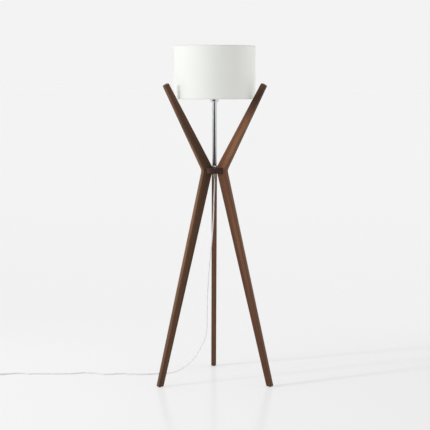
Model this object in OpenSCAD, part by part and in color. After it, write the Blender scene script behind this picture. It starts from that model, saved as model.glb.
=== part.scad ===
// Tripod floor lamp: three wooden boards let into a slotted hub, two of them bent on into arms beside
// a drum shade, with a polished pole, a switched lampholder, and a mains cord that leaves below the hub.
// Millimetres. The origin is on the floor under the pole, +Z is up, and the rear leg points along +Y.

/* [Legs] */
// Thickness of the leg boards
board_t = 24; // [20:0.5:28]
// Radius of the rounded arrises of the boards
arris_r = 3; // [1:0.5:4]
// Rounding of the ends of the boards
end_ease = 4; // [2:0.5:5]
// Distance from the lamp's axis to the outer edge of a foot
foot_r = 308; // [260:1:360]
// Width of a board along the floor
foot_w = 26; // [18:1:30]
// Width of a bent board across the bend
knee_w = 50; // [40:1:52]
// Height of the bend's outer corner over the middle of the hub
knee_up = 1; // [-3:0.5:4]
// Height of the bend's corner next to the pole over its outer corner
nose_up = 9.5; // [7:0.5:11]
// Radius of the inside corner of the bend
knee_fillet = 30; // [15:1:40]
// Radius of the bend's corner next to the pole
knee_nose = 10; // [6:1:14]
// Height that the arms reach above the lower edge of the shade
arm_rise = 73; // [40:1:100]
// Width of an arm at its tip
tip_w = 24; // [16:1:28]
// Height of the glides under the feet
glide_h = 2.5; // [2:0.5:4]
// Diameter of the glides
glide_d = 13; // [10:0.5:14]

/* [Hub] */
// Height of the middle of the hub above the floor
hub_z = 996; // [850:1:1050]
// Diameter of the hub
hub_d = 104; // [98:1:110]
// Thickness of the hub
hub_h = 26; // [24:1:32]
// Rounding of the hub's edges
hub_ease = 1.5; // [0.5:0.5:2.5]
// Distance from the lamp's axis to the leg screws
screw_r = 33; // [31:0.5:35]
// Diameter of the shank of the leg screws
screw_d = 6; // [5:0.5:7]
// Diameter of the heads of the leg screws
screw_head_d = 10; // [9:0.5:11]
// Thickness of the heads of the leg screws
screw_head_h = 3; // [2:0.5:4]
// Length of the leg screws under the head
screw_l = 54; // [50:1:58]

/* [Pole] */
// Diameter of the pole
pole_d = 23; // [22:0.5:25]
// Wall of the pole
pole_t = 1.5; // [1:0.1:2.5]
// Length of the pole
pole_l = 301; // [250:1:340]
// Diameter of the collar at the foot of the pole
collar_d = 27; // [26.5:0.5:32]
// Height of the collar
collar_h = 8; // [6:0.5:12]
// Depth of the pole's seat in the collar
collar_seat = 5; // [3:0.5:5]
// Diameter of the hollow threaded rod
rod_d = 10; // [9.5:0.5:12]
// Bore of the hollow threaded rod
rod_bore = 7; // [6.5:0.5:8]
// Height of the nuts on the rod
nut_h = 5; // [4:0.5:6]
// Width of the nuts across their flats
nut_af = 14; // [13.5:0.5:15]
// Thickness of the washers on the rod
washer_t = 1.5; // [1:0.1:2]
// Height of the cup under the lampholder
cup_h = 34; // [30:1:40]
// Diameter of the foot of the cup
cup_foot_d = 30; // [27:1:34]
// Diameter of the belly of the cup
cup_belly_d = 40; // [39:0.5:44]
// Diameter of the rim of the cup
cup_rim_d = 46; // [45:1:54]
// Wall of the cup
cup_t = 1.2; // [0.8:0.1:1.6]

/* [Lampholder] */
// Diameter of the lampholder's body
holder_d = 38; // [36:0.5:40]
// Height of the lampholder's body with the switch chamber
holder_h = 54; // [50:1:60]
// Wall of the lampholder's body
holder_t = 3.5; // [3:0.5:5]
// Diameter of the flange that carries the shade
flange_d = 46; // [44:0.5:48]
// Thickness of the flange
flange_h = 3; // [2:0.5:4]
// Outer diameter of the threaded skirt
skirt_d = 39.6; // [38:0.2:40]
// Height of the threaded skirt
skirt_h = 28; // [26:1:32]
// Bore of the screw contact
contact_bore = 27.2; // [27.2:0.2:28]
// Thickness of the screw contact
contact_t = 0.6; // [0.4:0.1:0.8]
// Height of the knob above the foot of the lampholder
knob_up = 35; // [34:0.5:37]
// Diameter of the knob
knob_d = 14; // [12:0.5:14.5]
// Length of the knob
knob_l = 17; // [14:1:22]
// Depth of the grip grooves of the knob
knob_groove = 0.8; // [0.4:0.1:1]
// Diameter of the switch spindle
spindle_d = 6; // [5:0.5:7]

/* [Shade] */
// Diameter of the shade over its hems
shade_d = 380; // [340:5:420]
// Height of the shade
shade_h = 244; // [200:1:280]
// Thickness of the shade's wall
wall_t = 1.5; // [1:0.1:2]
// Height of the hem bands
hem_h = 6; // [5:0.5:10]
// Amount that the hem bands stand proud of the wall
hem_proud = 0.5; // [0.3:0.1:1]
// Thickness of the folded fabric of the hems
hem_t = 0.8; // [0.6:0.1:1.2]
// Height of the folded lips inside the shade
lip_h = 9; // [8:0.5:14]
// Diameter of the wire of the two rings
wire_d = 4; // [3.5:0.5:4.5]
// Diameter of the wire of the spokes
spoke_d = 3.2; // [2.5:0.1:3.4]
// Height of the fitter ring above the shade's lower edge
fitter_drop = 48; // [44:1:56]
// Thickness of the fitter ring
fitter_t = 1.6; // [1.2:0.1:2]
// Outer diameter of the fitter ring
fitter_d = 54; // [53:0.5:58]
// Outer diameter of the threaded shade ring
lock_d = 50; // [48:0.5:51]
// Height of the threaded shade ring
lock_h = 9; // [7:0.5:12]
// Depth of the grip grooves of the threaded shade ring
lock_groove = 1; // [0.6:0.1:1.4]

/* [Bulb] */
// Diameter of the bulb
bulb_d = 60; // [55:1:66]
// Length of the bulb with its cap
bulb_l = 108; // [100:1:120]
// Diameter of the bulb's cap
cap_d = 26.4; // [26:0.1:26.6]
// Height of the bulb's cap
cap_h = 26; // [24:0.5:28]
// Wall of the bulb's glass
glass_t = 1; // [0.6:0.1:1.4]

/* [Cord] */
// Diameter of the cord
cord_d = 5.5; // [5:0.1:6]
// Length of the cord grip below the hub
grip_l = 27; // [22:1:40]
// Diameter of the cord grip at the hub
grip_d = 14; // [13:0.5:16]
// Length that the rod enters the cord grip below the hub
grip_hold = 11; // [8:1:14]
// Number of turns in the coil
coil_turns = 3.25; // [2.25:1:5.25]
// Radius of the coil's outer turn
coil_r = 33.5; // [30:0.5:38]
// Distance between neighbouring turns of the coil
coil_pitch = 5.6; // [5.6:0.1:6.2]
// Thickness of the tie round the coil
tie_t = 1; // [0.8:0.1:1.4]
// Width of the tie round the coil
tie_w = 8; // [6:0.5:12]
// Width of the plug
plug_w = 35; // [33:0.5:37]
// Thickness of the plug
plug_t = 13.7; // [13:0.1:15]
// Length of the plug's body
plug_l = 26; // [22:1:32]
// Length of the plug's sleeve over the cord
sleeve_l = 14; // [10:1:20]
// Diameter of the plug's pins
pin_d = 4; // [4:0.1:4.8]
// Length of the plug's pins
pin_l = 19; // [17:0.5:20]
// Distance between the plug's pins
pin_gap = 18.6; // [17.5:0.1:19]

/* [Fits] */
// Gap between a board and the walls of its slot
slot_gap = 0.1; // [0.05:0.05:0.3]
// Gap between the collar and the boards
collar_gap = 0.5; // [0.4:0.1:2]
// Distance from the shade to the arms at its lower edge
shade_gap = 15; // [12:1:40]
// Gap round parts that slide over each other when the lamp is put together
fit_gap = 0.1; // [0.05:0.05:0.2]
// Gap round the heads of the leg screws
head_gap = 0.3; // [0.2:0.1:0.6]
// Gap round the spindle in its bearing
turn_gap = 0.05; // [0.02:0.01:0.08]
// Gap between the skirt and what sits round it
skirt_gap = 0.4; // [0.3:0.1:0.6]
// Gap between the wires and the fabric round them
wire_gap = 0.2; // [0.1:0.05:0.3]
// Gap between the coil and what lies against it
coil_gap = 0.3; // [0.2:0.1:0.6]

/* [Hidden] */
$fn = 96;

// Directions of the legs about the axis
left_a = 210;
right_a = 330;
rear_a = 90;
// Directions of the shade's spokes
spoke_a = [30, 150, 270];

// Heights along the lamp, from the hub up
hub_top = hub_z + hub_h / 2;
hub_bottom = hub_z - hub_h / 2;
pole_z = hub_top + collar_h - collar_seat;
cup_z = pole_z + pole_l;
cup_floor = cup_z + cup_t;
holder_z = cup_floor + washer_t + nut_h + 1;
flange_top = holder_z + holder_h;
shade_z = flange_top - fitter_drop;
shade_top = shade_z + shade_h;

// Nut pocket in the hub's underside, with the nut just inside it
pocket_h = washer_t + nut_h + 2;
pocket_d = nut_af / cos(30) + 3;
washer_z = hub_bottom + pocket_h - washer_t;

// Boards, drawn in their own plane as [distance from the axis, height]
foot_in = [foot_r - foot_w, 0];
foot_out = [foot_r, 0];
knee_in = [collar_d / 2 + collar_gap, hub_z + knee_up + nose_up];
knee_out = [knee_in.x + knee_w, hub_z + knee_up];
shade_side = [shade_d / 2 + shade_gap, shade_z];
arm_in = unit(shade_side - knee_in);
arm_across = [arm_in.y, -arm_in.x];
tip_in = knee_in + arm_in * (shade_z + arm_rise - knee_in.y) / arm_in.y;
tip_out = tip_in + arm_across * tip_w;

// Numbers of steps in the curves
ease_n = 3;
knee_n = 6;
arris_n = 4;
cup_n = 10;
bulb_n = 14;
neck_n = 8;
cord_sides = 8;
cord_steps = 2;

// Insides of the shade's hems
wall_out = shade_d / 2 - hem_proud;
wall_in = wall_out - wall_t;
wire_r = wall_in - wire_gap - wire_d / 2;
wire_up = hem_t + wire_gap + wire_d / 2;
lip_out = wire_r - wire_d / 2 - wire_gap;
lip_in = lip_out - hem_t;

// Knob, its bearing and the lampholder's chamber
knob_z = holder_z + knob_up;
knob_x = holder_d / 2 + 1.5;
chamber_r = holder_d / 2 - holder_t;
chamber_z = holder_z + 12;
spindle_in = chamber_r - 5;
spindle_out = knob_x + knob_l - 6;

// Threaded shade ring on its seat
lock_z = flange_top + fitter_t;

// Screw contact and bulb inside the skirt
contact_r = contact_bore / 2 + contact_t;
skirt_bore = contact_r + fit_gap;
contact_floor = flange_top + 1;
button_z = contact_floor + 1.5;
cap_top = button_z + cap_h;
bulb_top = button_z + bulb_l;

// Cord grip
rod_z = hub_bottom - grip_hold;
grip_z = hub_bottom - grip_l;
rod_top = holder_z + 9;

// Coil beside the lamp, and the plug that lies against it
coil_at = [-1100, 82];
coil_in = coil_r - coil_pitch * coil_turns / 2 - cord_d / 2;
coil_out = coil_r + cord_d / 2;
coil_h = cord_d + coil_pitch;
coil_z = tie_t + coil_gap / 2;
sleeve_d = cord_d + 2;
plug_off = sqrt(pow(coil_out + coil_gap, 2) - pow(coil_r - sleeve_d / 2, 2));
plug_at = [coil_at.x - coil_r, coil_at.y - plug_off];

// Route of the cord from the grip to the coil, where it isn't coiled
CORD_ROUTE = [
    [0, 0, grip_z], [0, 0, 925], [-2, 1, 880], [-4, 4, 820], [-6, 7, 757], [-13, 12, 661],
    [-22, 20, 565], [-29, 31, 475], [-34, 44, 380], [-35, 60, 280], [-37, 69, 220], [-48, 79, 174],
    [-72, 92, 123], [-104, 103, 73], [-146, 112, 34], [-188, 117, 11], [-222, 119, 4.2],
    [-255, 116, 2.9], [-291, 111, 2.8], [-325, 104, 2.75], [-360, 102, 2.75],
    [-405, 108, 2.75], [-451, 117, 2.75], [-490, 109, 2.75], [-522, 102, 2.75],
    [-552, 112, 2.75], [-583, 130, 2.75], [-632, 138, 2.75], [-665, 127, 2.75],
    [-700, 120, 2.75], [-760, 117, 2.75], [-820, 121, 2.75], [-860, 122, 2.75],
    [-890, 118, 2.75], [-914, 124, 2.75], [-940, 134, 2.75], [-968, 128, 2.75],
    [-1000, 119, 2.8], [-1040, 116, 2.95], [-1062, 115.7, 3.4], [-1080, 115.5, 3.8]
];

// ---- Functions ----

function unit(v) = v / norm(v);
function wrap(a) = a > 180 ? a - 360 : a < -180 ? a + 360 : a;

// Where the line from p to q passes the height z
function at_z(p, q, z) = p + (q - p) * (z - p.y) / (q.y - p.y);

// The round corner of radius r at p, between the lines to a and b
function corner(a, p, b, r, n) =
    let (u = unit(a - p))
    let (v = unit(b - p))
    let (half = acos(u * v) / 2)
    let (c = p + unit(u + v) * r / sin(half))
    let (s = p + u * r / tan(half) - c)
    let (e = p + v * r / tan(half) - c)
    let (from = atan2(s.y, s.x))
    let (turn = wrap(atan2(e.y, e.x) - from))
    [for (i = [0:n]) c + r * [cos(from + turn * i / n), sin(from + turn * i / n)]];

// A board's section from p to q, drawn in by inset all round, with rounded arrises
function section(p, q, inset) =
    let (u = unit(q - p))
    let (m = (p + q) / 2)
    let (w = norm(q - p) / 2 - inset - arris_r)
    let (h = board_t / 2 - inset - arris_r)
    [
        for (k = [0:3])
            for (j = [0:arris_n])
                let (a = 90 * (k + j / arris_n))
                let (x = (k == 0 || k == 3 ? w : -w) + arris_r * cos(a))
                let (y = (k < 2 ? h : -h) + arris_r * sin(a))
                [m.x + u.x * x, y, m.y + u.y * x]
    ];

// How far an eased end is drawn in, and how far along the board, at step k from its face
function ease_in(k) = end_ease * (1 - sin(90 * k / ease_n));
function ease_up(k) = end_ease * (1 - cos(90 * k / ease_n));

// Sections of the foot, cut level on top of the glide
function foot_sections(inner, outer) = [
    for (k = [0:ease_n])
        let (z = glide_h + ease_up(k))
        section(at_z(foot_in, inner, z), at_z(foot_out, outer, z), ease_in(k))
];

// A point on the cubic curve through p[0] and p[3]
function bezier(p, t) =
    pow(1 - t, 3) * p[0] + 3 * t * pow(1 - t, 2) * p[1] + 3 * t * t * (1 - t) * p[2] + t * t * t * p[3];
function curve(p, n) = [for (i = [0:n]) bezier(p, i / n)];

// A point on the smooth line from b to c, which also looks at the points before and after them
function smooth(a, b, c, d, t) =
    0.5 * (2 * b + (c - a) * t + (2 * a - 5 * b + 4 * c - d) * t * t + (3 * b - a - 3 * c + d) * t * t * t);

// The smooth line through all the points of a route, with n steps between two of them
function smooth_line(p, n) = [
    for (i = [0:len(p) - 2])
        for (k = [0:n - 1])
            smooth(p[max(i - 1, 0)], p[i], p[i + 1], p[min(i + 2, len(p) - 1)], k / n),
    p[len(p) - 1]
];

// The ring of points round the point i of a line, square to it
function ring_at(line, i, r, sides) =
    let (along = i == 0 ? [0, 0, -1] : unit(line[min(i + 1, len(line) - 1)] - line[i - 1]))
    let (a = unit(cross(along, [0, 1, 0])))
    let (b = cross(along, a))
    [for (k = [0:sides - 1]) line[i] + r * (a * cos(360 * k / sides) + b * sin(360 * k / sides))];

// ---- Shapes that repeat ----

// Closed skin over rings that all have as many points
module loft(rings) {
    n = len(rings[0]);
    m = len(rings);
    polyhedron(
        points = [for (ring = rings) each ring],
        faces = [
            [for (i = [0:n - 1]) i],
            for (s = [0:m - 2])
                for (i = [0:n - 1])
                    [s * n + i, (s + 1) * n + i, (s + 1) * n + (i + 1) % n],
            for (s = [0:m - 2])
                for (i = [0:n - 1])
                    [s * n + i, (s + 1) * n + (i + 1) % n, s * n + (i + 1) % n],
            [for (i = [n - 1:-1:0]) (m - 1) * n + i]
        ]
    );
}

// Tube with a true bore
module tube(r_out, r_in, h) {
    difference() {
        cylinder(r = r_out, h = h);
        translate([0, 0, -1]) cylinder(r = r_in, h = h + 2);
    }
}

// Hexagon nut for the rod, with chamfered corners
module nut() {
    difference() {
        intersection() {
            cylinder(d = nut_af / cos(30), h = nut_h, $fn = 6);
            rotate_extrude() polygon([
                [0, 0], [nut_af / 2, 0], [nut_af / 2 + 1.4, 0.8],
                [nut_af / 2 + 1.4, nut_h - 0.8], [nut_af / 2, nut_h], [0, nut_h]
            ]);
        }
        translate([0, 0, -1]) cylinder(d = rod_d + 2 * fit_gap, h = nut_h + 2);
    }
}

// Washer for the rod
module washer() {
    tube(nut_af / cos(30) / 2 + 1, rod_d / 2 + fit_gap, washer_t);
}

// Hole of a leg screw through the plane of its board, side +1 or -1 for where its head lies
module screw_hole(side) {
    translate([screw_r, 0, hub_z])
        rotate([-90 * side, 0, 0])
            translate([0, 0, -screw_l])
                cylinder(d = screw_d + 2 * fit_gap, h = 2 * screw_l);
}

// Where a leg screw lies: its head is sunk in the hub on the given side of the board
module at_screw(side) {
    translate([screw_r, 0, hub_z])
        rotate([-90 * side, 0, 0])
            translate([0, 0, -screw_l / 2])
                children();
}

// Leg screw, lying along Z with its point at 0
module screw() {
    rotate_extrude($fn = 48) polygon([
        [0, 0], [screw_d / 2 - 1.2, 0], [screw_d / 2, 3], [screw_d / 2, screw_l],
        [screw_head_d / 2, screw_l + 0.6], [screw_head_d / 2, screw_l + screw_head_h - 0.4],
        [screw_head_d / 2 - 0.4, screw_l + screw_head_h], [0, screw_l + screw_head_h]
    ]);
}

// ---- Legs ----

module bent_leg(side) {
    inner = corner(foot_in, knee_in, tip_in, knee_nose, knee_n);
    outer = corner(foot_out, knee_out, tip_out, knee_fillet, knee_n);
    knee = [for (i = [0:knee_n]) section(inner[i], outer[i], 0)];
    tip = [
        for (k = [ease_n:-1:0])
            let (back = arm_in * ease_up(k))
            section(tip_in - back, tip_out - back, ease_in(k))
    ];
    difference() {
        loft(concat(foot_sections(knee_in, knee_out), knee, tip));
        screw_hole(side);
    }
}

module leg_left() {
    color([0.29, 0.20, 0.15]) rotate([0, 0, left_a]) bent_leg(-1);
}

module leg_right() {
    color([0.38, 0.27, 0.21]) rotate([0, 0, right_a]) bent_leg(1);
}

// The rear board is straight and ends level with the hub's top
module leg_rear() {
    top = [
        for (k = [ease_n:-1:0])
            let (z = hub_top - ease_up(k))
            section(at_z(foot_in, knee_in, z), at_z(foot_out, knee_out, z), ease_in(k))
    ];
    color([0.29, 0.20, 0.15])
        rotate([0, 0, rear_a])
            difference() {
                loft(concat(foot_sections(knee_in, knee_out), top));
                screw_hole(1);
            }
}

module foot_glides() {
    color([0.16, 0.15, 0.15])
        for (a = [left_a, right_a, rear_a])
            rotate([0, 0, a])
                translate([foot_r - foot_w / 2, 0, 0])
                    rotate_extrude($fn = 48) polygon([
                        [0, 0], [glide_d / 2 - 1, 0], [glide_d / 2, 0.8], [glide_d / 2, glide_h], [0, glide_h]
                    ]);
}

// ---- Hub ----

// Outline of the slot for a bent or a straight board, in the board's plane
function slot_outline(bent) =
    let (low = hub_bottom - 1)
    let (high = hub_top + 1)
    let (nose = corner(foot_in, knee_in, tip_in, knee_nose, knee_n))
    let (above = bent ? [each nose, at_z(knee_in, tip_in, high)] : [at_z(foot_in, knee_in, high)])
    let (inner = [at_z(foot_in, knee_in, low), each above])
    [
        for (p = inner)
            if (p.y <= high)
                [p.x - slot_gap, p.y],
        [hub_d, high], [hub_d, low]
    ];

module board_slot(bent) {
    rotate([90, 0, 0])
        linear_extrude(height = board_t + 2 * slot_gap, center = true)
            polygon(slot_outline(bent));
}

// Screw hole and head pocket in the hub, blind at the screw's point
module hub_screw_hole(side) {
    at_screw(side) {
        cylinder(d = screw_d + 2 * fit_gap, h = screw_l + 1, $fn = 48);
        translate([0, 0, screw_l]) cylinder(d = screw_head_d + 2 * head_gap, h = hub_d / 2, $fn = 48);
    }
}

module hub() {
    color([0.30, 0.21, 0.17])
        difference() {
            translate([0, 0, hub_bottom])
                rotate_extrude() polygon([
                    [0, 0],
                    each corner([0, 0], [hub_d / 2, 0], [hub_d / 2, hub_h], hub_ease, 4),
                    each corner([hub_d / 2, 0], [hub_d / 2, hub_h], [0, hub_h], hub_ease, 4),
                    [0, hub_h]
                ]);
            translate([0, 0, hub_bottom - 1]) cylinder(d = rod_d + 2 * fit_gap, h = hub_h + 2);
            translate([0, 0, hub_bottom - 1]) cylinder(d = pocket_d, h = pocket_h + 1);
            rotate([0, 0, left_a]) board_slot(true);
            rotate([0, 0, right_a]) board_slot(true);
            rotate([0, 0, rear_a]) board_slot(false);
            rotate([0, 0, left_a]) hub_screw_hole(-1);
            rotate([0, 0, right_a]) hub_screw_hole(1);
            rotate([0, 0, rear_a]) hub_screw_hole(1);
        }
}

module leg_screws() {
    color([0.62, 0.62, 0.62]) {
        rotate([0, 0, left_a]) at_screw(-1) screw();
        rotate([0, 0, right_a]) at_screw(1) screw();
        rotate([0, 0, rear_a]) at_screw(1) screw();
    }
}

module hub_washer() {
    color([0.72, 0.72, 0.72]) translate([0, 0, washer_z]) washer();
}

module hub_nut() {
    color([0.72, 0.72, 0.72]) translate([0, 0, washer_z - nut_h]) nut();
}

// ---- Pole ----

module collar() {
    color([0.82, 0.82, 0.82])
        translate([0, 0, hub_top])
            difference() {
                rotate_extrude() polygon([
                    [0, 0], [collar_d / 2, 0],
                    each corner([collar_d / 2, 0], [collar_d / 2, collar_h], [0, collar_h], 1.5, 4),
                    [0, collar_h]
                ]);
                translate([0, 0, -1]) cylinder(d = rod_d + 2 * fit_gap, h = collar_h + 2);
                translate([0, 0, collar_h - collar_seat]) cylinder(d = pole_d + 2 * fit_gap, h = collar_h);
            }
}

module pole() {
    color([0.82, 0.84, 0.86]) translate([0, 0, pole_z]) tube(pole_d / 2, pole_d / 2 - pole_t, pole_l);
}

module rod() {
    color([0.75, 0.70, 0.55]) translate([0, 0, rod_z]) tube(rod_d / 2, rod_bore / 2, rod_top - rod_z);
}

// The cup turns up quickly from its flat foot and then widens slowly to its rim
module cup() {
    flare = curve([
        [cup_foot_d / 2, 0], [cup_belly_d / 2, 0], [cup_belly_d / 2, cup_h / 4], [cup_rim_d / 2, cup_h]
    ], cup_n);
    inside = [
        for (i = [cup_n:-1:0])
            if (flare[i].y > cup_t)
                [flare[i].x - cup_t, flare[i].y]
    ];
    color([0.82, 0.84, 0.86])
        translate([0, 0, cup_z])
            difference() {
                rotate_extrude() polygon([
                    [0, 0], each flare, each inside, [cup_foot_d / 2, cup_t], [0, cup_t]
                ]);
                translate([0, 0, -1]) cylinder(d = rod_d + 2 * fit_gap, h = cup_h);
            }
}

module cup_washer() {
    color([0.72, 0.72, 0.72]) translate([0, 0, cup_floor]) washer();
}

module cup_nut() {
    color([0.72, 0.72, 0.72]) translate([0, 0, cup_floor + washer_t]) nut();
}

// ---- Lampholder ----

module holder_body() {
    r = holder_d / 2;
    color([0.93, 0.92, 0.89])
        difference() {
            translate([0, 0, holder_z])
                rotate_extrude() polygon([
                    [0, 0], [r - 7, 0], [r - 5.5, 1], [r, 12], [r, holder_h - flange_h],
                    [flange_d / 2, holder_h - flange_h], [flange_d / 2, holder_h], [0, holder_h]
                ]);
            translate([0, 0, holder_z - 1]) cylinder(d = rod_d + 2 * fit_gap, h = holder_h);
            translate([0, 0, chamber_z]) cylinder(r = chamber_r, h = holder_h - 12 - flange_h);
            translate([0, 0, knob_z])
                rotate([0, 90, 0])
                    cylinder(d = spindle_d + 2 * turn_gap, h = holder_d, $fn = 48);
        }
}

module holder_skirt() {
    color([0.93, 0.92, 0.89])
        translate([0, 0, flange_top])
            difference() {
                rotate_extrude() polygon([
                    [0, 0], [skirt_d / 2, 0], [skirt_d / 2, skirt_h - 1],
                    [skirt_d / 2 - 1, skirt_h], [0, skirt_h]
                ]);
                translate([0, 0, contact_floor - flange_top]) cylinder(r = skirt_bore, h = skirt_h);
            }
}

module screw_contact() {
    color([0.80, 0.68, 0.38])
        translate([0, 0, contact_floor])
            tube(contact_r, contact_r - contact_t, skirt_h - 6);
}

module centre_contact() {
    color([0.80, 0.68, 0.38]) translate([0, 0, contact_floor]) cylinder(d = 8, h = button_z - contact_floor);
}

module spindle() {
    color([0.78, 0.66, 0.40])
        translate([spindle_in, 0, knob_z])
            rotate([0, 90, 0])
                cylinder(d = spindle_d, h = spindle_out - spindle_in, $fn = 48);
}

module knob() {
    grooves = 16;
    color([0.93, 0.92, 0.89])
        translate([knob_x, 0, knob_z])
            rotate([0, 90, 0])
                difference() {
                    rotate_extrude() polygon([
                        [0, 0], [knob_d / 2, 0],
                        each corner([knob_d / 2, 0], [knob_d / 2, knob_l], [0, knob_l], 2, 4),
                        [0, knob_l]
                    ]);
                    for (i = [0:grooves - 1])
                        rotate([0, 0, 360 * i / grooves])
                            translate([knob_d / 2 + 0.2, 0, 3])
                                cylinder(r = knob_groove, h = knob_l - 6, $fn = 24);
                    translate([0, 0, -1])
                        cylinder(d = spindle_d + 2 * turn_gap, h = spindle_out - knob_x + 1, $fn = 48);
                }
}

module lock_ring() {
    grooves = 24;
    color([0.93, 0.92, 0.89])
        translate([0, 0, lock_z])
            difference() {
                tube(lock_d / 2, skirt_d / 2 + skirt_gap, lock_h);
                for (i = [0:grooves - 1])
                    rotate([0, 0, 360 * i / grooves])
                        translate([lock_d / 2 + 0.4, 0, 1.5])
                            cylinder(r = lock_groove, h = lock_h, $fn = 24);
            }
}

// ---- Bulb ----

module bulb_cap() {
    r = cap_d / 2;
    color([0.80, 0.80, 0.80])
        translate([0, 0, button_z])
            rotate_extrude() polygon([
                [0, 0], [4.2, 0], [5, 1.2], [r - 2, 4.5], [r, 6], [r, cap_h],
                [r - 0.8, cap_h], [r - 0.8, 7], [0, 7]
            ]);
}

// Outline of the glass, which leaves the cap as a neck and closes in a ball
function bulb_outline(shrink) =
    let (from = -20)
    let (r = bulb_d / 2 - shrink)
    let (c = [0, bulb_top - bulb_d / 2])
    let (neck = [cap_d / 2 - shrink, cap_top])
    let (ball = c + r * [cos(from), sin(from)])
    [
        each curve([neck, neck + [0, 14], ball - 16 * [-sin(from), cos(from)], ball], neck_n),
        for (i = [1:bulb_n])
            let (a = from + (90 - from) * i / bulb_n)
            c + r * [cos(a), sin(a)]
    ];

module bulb_glass() {
    outside = bulb_outline(0);
    inside = bulb_outline(glass_t);
    color([0.95, 0.95, 0.92])
        rotate_extrude() polygon([
            for (p = outside) [max(p.x, 0), p.y],
            for (i = [len(inside) - 1:-1:0]) [max(inside[i].x, 0), inside[i].y]
        ]);
}

// ---- Shade ----

module shade_cover() {
    half = shade_h / 2;
    r = shade_d / 2;
    upper_out = [
        [lip_in, half - lip_h], [lip_in, half], [r, half], [r, half - hem_h], [wall_out, half - hem_h - 0.5]
    ];
    upper_in = [
        [wall_in, half - hem_t], [lip_out, half - hem_t], [lip_out, half - lip_h]
    ];
    color([0.96, 0.96, 0.95])
        difference() {
            translate([0, 0, shade_z + half])
                rotate_extrude($fn = 180) polygon([
                    each upper_out,
                    for (i = [len(upper_out) - 1:-1:0]) [upper_out[i].x, -upper_out[i].y],
                    for (i = [len(upper_in) - 1:-1:0]) [upper_in[i].x, -upper_in[i].y],
                    each upper_in
                ]);
            for (a = spoke_a)
                rotate([0, 0, a])
                    translate([lip_in - 1, -spoke_d / 2 - 1, shade_z + hem_t])
                        cube([hem_t + 1.2, spoke_d + 2, lip_h]);
        }
}

module wire_ring(z) {
    color([0.94, 0.94, 0.94])
        translate([0, 0, z])
            rotate_extrude($fn = 180)
                translate([wire_r, 0]) circle(d = wire_d, $fn = 32);
}

module shade_top_ring() {
    wire_ring(shade_top - wire_up);
}

module shade_bottom_ring() {
    wire_ring(shade_z + wire_up);
}

// Three spokes that slope from the bottom ring up to the fitter ring on the lampholder's flange
module shade_spider() {
    from = [fitter_d / 2 - 1, flange_top + fitter_t / 2];
    to = [wire_r - wire_d / 2 - 2 * wire_gap, shade_z + wire_up];
    slope = atan2(to.x - from.x, to.y - from.y);
    color([0.94, 0.94, 0.94]) {
        translate([0, 0, flange_top]) tube(fitter_d / 2, skirt_d / 2 + skirt_gap, fitter_t);
        for (a = spoke_a)
            rotate([0, 0, a])
                translate([from.x, 0, from.y])
                    rotate([0, slope, 0])
                        cylinder(d = spoke_d, h = norm(to - from), $fn = 32);
    }
}

// ---- Cord ----

module cord_grip() {
    r = grip_d / 2;
    tip = cord_d / 2 + 1;
    color([0.80, 0.78, 0.75])
        translate([0, 0, grip_z])
            difference() {
                rotate_extrude($fn = 64) polygon([
                    [0, 0], [tip, 0], [tip + 0.3, 2], [tip + 0.3, 3], [tip - 0.2, 3.4], [tip - 0.2, 4.4],
                    [tip + 0.8, 5], [tip + 1, 7], [tip + 0.4, 7.4], [tip + 0.4, 8.4],
                    [tip + 1.6, 9], [tip + 1.9, 11.5], [r, grip_l - 9], [r, grip_l + 1], [0, grip_l + 1]
                ]);
                translate([0, 0, -1]) cylinder(d = cord_d + 2 * fit_gap, h = grip_l + 3);
                translate([0, 0, grip_l - grip_hold]) cylinder(d = rod_d + 2 * fit_gap, h = grip_l);
            }
}

module cord_inner() {
    top = chamber_z + 8;
    color([0.84, 0.83, 0.80]) translate([0, 0, grip_z]) cylinder(d = cord_d, h = top - grip_z, $fn = 48);
}

module cord() {
    line = smooth_line(CORD_ROUTE, cord_steps);
    color([0.84, 0.83, 0.80])
        loft([for (i = [0:len(line) - 1]) ring_at(line, i, cord_d / 2, cord_sides)]);
}

module cord_coil() {
    color([0.84, 0.83, 0.80])
        translate([coil_at.x, coil_at.y, coil_z])
            rotate_extrude() polygon([
                [coil_in, 0], [coil_out, 0], [coil_out, coil_h], [coil_in, coil_h]
            ]);
}

module cord_tie() {
    sag = coil_in - sqrt(coil_in * coil_in - tie_w * tie_w / 4);
    inside = [coil_out - coil_in + sag + 2 * coil_gap, coil_h + coil_gap];
    middle = (coil_in + coil_out - sag) / 2;
    color([0.90, 0.90, 0.88])
        translate([coil_at.x + middle, coil_at.y, coil_z + coil_h / 2])
            rotate([90, 0, 0])
                linear_extrude(height = tie_w, center = true)
                    difference() {
                        square(inside + [2 * tie_t, 2 * tie_t], center = true);
                        square(inside, center = true);
                    }
}

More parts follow.
